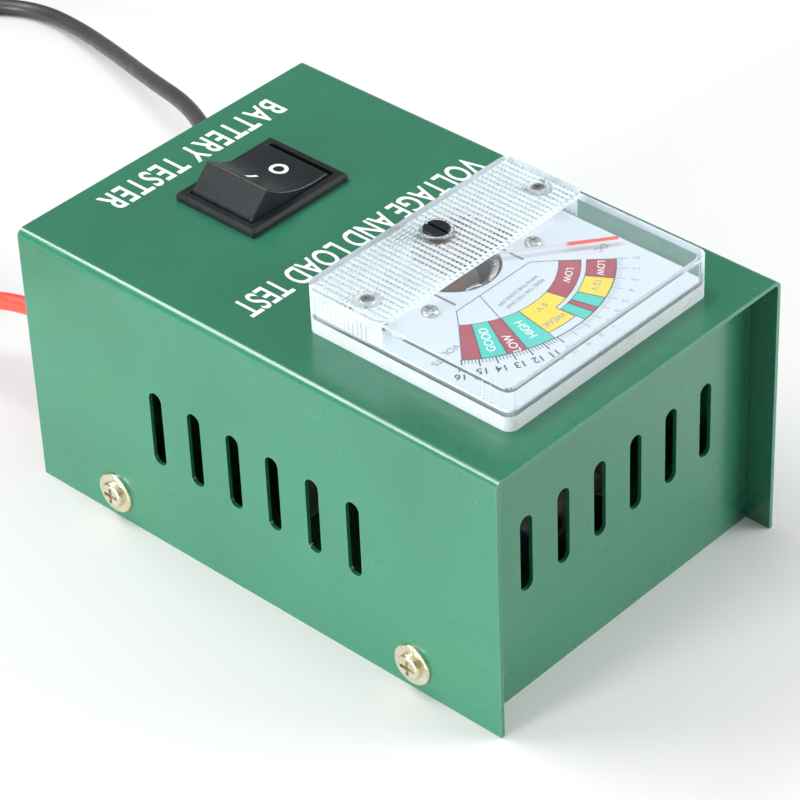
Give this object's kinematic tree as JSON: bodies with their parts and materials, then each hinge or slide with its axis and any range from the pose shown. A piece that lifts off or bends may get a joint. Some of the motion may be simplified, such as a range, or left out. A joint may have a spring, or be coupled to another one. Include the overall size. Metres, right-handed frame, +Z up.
{
  "type": "battery load tester",
  "caption": "Handheld battery load tester: folded steel case with vents, rocker switch, panel meter with pointer, and two leads with sprung clips.",
  "frame": {"origin": "bottom centre of the case, on the surface that it stands on", "axes": "+X from the lead end to the meter end, +Y towards the far long side, +Z up"},
  "size_m": [0.3519, 0.2824, 0.0833],
  "materials": {
    "case_paint": "gloss green enamel on folded steel",
    "zinc_screw": "yellow passivated zinc plate",
    "meter_plastic": "white moulded",
    "clear_plastic": "clear moulded acrylic, ribbed over the movement",
    "dial_white": "white printed aluminium",
    "bright_steel": "nickel plated",
    "magnet_metal": "bare magnet and soft iron",
    "bridge_metal": "bare strip",
    "brass_part": "bare",
    "coil_copper": "enamelled copper winding",
    "pointer_red": "red enamel",
    "black_plastic": "semi-gloss moulded",
    "load_metal": "heat-tinted resistance strip",
    "ceramic_white": "unglazed insulator",
    "red_wire": "smooth red insulation",
    "black_wire": "smooth black insulation",
    "relief_rubber": "soft black moulding",
    "clip_steel": "plated pressed steel",
    "red_grip": "dipped soft red plastic",
    "black_grip": "dipped soft black plastic"
  },
  "bodies": {
    "case": {"top_cover": "case_paint", "base_chassis": "case_paint", "cover_screw_1": "zinc_screw", "cover_screw_2": "zinc_screw", "cover_screw_3": "zinc_screw", "cover_screw_4": "zinc_screw", "meter_body": "meter_plastic", "meter_cover": "clear_plastic", "meter_dial": "dial_white", "meter_cover_screw_1": "bright_steel", "meter_cover_screw_2": "bright_steel", "dial_screw_1": "bright_steel", "dial_screw_2": "bright_steel", "meter_stud_1": "bright_steel", "meter_stud_2": "bright_steel", "meter_nut_1": "bright_steel", "meter_nut_2": "bright_steel", "meter_clamp": "bright_steel", "load_bolt_1": "bright_steel", "load_bolt_2": "bright_steel", "magnet": "magnet_metal", "iron_core": "magnet_metal", "movement_bridge": "bridge_metal", "jewel_screw": "brass_part", "switch_terminal_pivot": "brass_part", "switch_terminal_contact": "brass_part", "switch_housing": "black_plastic", "load_strip": "load_metal", "ceramic_comb_1": "ceramic_white", "ceramic_comb_2": "ceramic_white", "supply_wire": "red_wire", "load_wire": "red_wire", "return_wire": "black_wire", "red_lead": "red_wire", "red_lead_coil": "red_wire", "red_lead_tail": "red_wire", "red_relief": "relief_rubber", "red_clip_jaw": "clip_steel", "red_clip_pin": "clip_steel", "red_clip_spring": "clip_steel", "red_clip_grip": "red_grip", "black_lead": "black_wire", "black_lead_coil": "black_wire", "black_lead_tail": "black_wire", "black_relief": "relief_rubber", "black_clip_jaw": "clip_steel", "black_clip_pin": "clip_steel", "black_clip_spring": "clip_steel", "black_clip_grip": "black_grip"},
    "pointer": {"pointer": "pointer_red", "moving_coil": "coil_copper"},
    "zero_screw": {"zero_screw": "black_plastic"},
    "zero_lever": {"zero_lever": "brass_part"},
    "rocker": {"rocker": "black_plastic", "rocker_plunger": "bright_steel"},
    "contact_arm": {"contact_arm": "brass_part"},
    "red_jaw": {"red_clip_moving_jaw": "clip_steel", "red_clip_moving_grip": "red_grip"},
    "black_jaw": {"black_clip_moving_jaw": "clip_steel", "black_clip_moving_grip": "black_grip"}
  },
  "joints": [
    {"name": "pointer_swing", "type": "hinge", "parent": "case", "child": "pointer", "pos_m": [0.0185, 0, 0.076], "axis": [0, 0, -1], "range_deg": [0, 99], "stiffness_Nm_per_rad": 0.0002, "springref_deg": -5.73},
    {"name": "zero_screw_turn", "type": "hinge", "parent": "case", "child": "zero_screw", "pos_m": [0.0137, 0, 0.082], "axis": [0, 0, 1], "range_deg": [-60, 60]},
    {"name": "zero_lever_swing", "type": "hinge", "parent": "case", "child": "zero_lever", "pos_m": [0.0185, 0, 0.0784], "axis": [0, 0, 1], "range_deg": [-9.5, 9.5]},
    {"name": "rocker_tilt", "type": "hinge", "parent": "case", "child": "rocker", "pos_m": [-0.0407, 0, 0.069], "axis": [1, 0, 0], "range_deg": [0, 22]},
    {"name": "contact_arm_tilt", "type": "hinge", "parent": "case", "child": "contact_arm", "pos_m": [-0.0407, 0, 0.057], "axis": [1, 0, 0], "range_deg": [-11.5, 0.5]},
    {"name": "red_clip_squeeze", "type": "hinge", "parent": "case", "child": "red_jaw", "pos_m": [-0.15287, -0.14697, 0.0065], "axis": [0, 0, 1], "range_deg": [0, 27], "stiffness_Nm_per_rad": 0.02, "springref_deg": -17.19},
    {"name": "black_clip_squeeze", "type": "hinge", "parent": "case", "child": "black_jaw", "pos_m": [-0.25216, -0.06197, 0.0065], "axis": [0, 0, 1], "range_deg": [0, 27], "stiffness_Nm_per_rad": 0.02, "springref_deg": -17.19}
  ],
  "couplings": [
    {"joint": "contact_arm_tilt", "follows": "rocker_tilt", "ratio": -0.5},
    {"joint": "zero_lever_swing", "follows": "zero_screw_turn", "ratio": 0.15}
  ]
}
